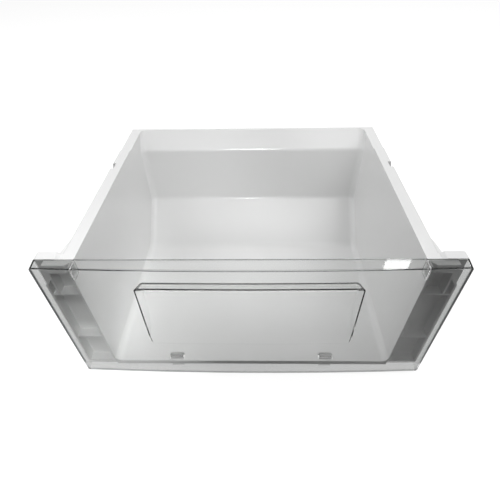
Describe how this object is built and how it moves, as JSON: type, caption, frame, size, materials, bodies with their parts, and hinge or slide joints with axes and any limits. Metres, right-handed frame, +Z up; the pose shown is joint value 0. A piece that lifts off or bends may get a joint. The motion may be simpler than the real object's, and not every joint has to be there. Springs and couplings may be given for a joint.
{
  "type": "fridge drawer",
  "caption": "White moulded fridge drawer with a sloped back and side runner lips, closed at the front by a clear bowed panel that clips on and has a recessed grip.",
  "frame": {"origin": "under the middle of the drawer, on the level of the front panel's bottom edge", "axes": "+X to the right as seen from the front, -Y towards the front panel, +Z up towards the rim"},
  "size_m": [0.4532, 0.3346, 0.2],
  "materials": {
    "white_plastic": "glossy injection-moulded white plastic",
    "clear_plastic": "polished clear plastic"
  },
  "bodies": {
    "root": {"tub": "white_plastic", "front_panel": "clear_plastic"}
  },
  "joints": []
}
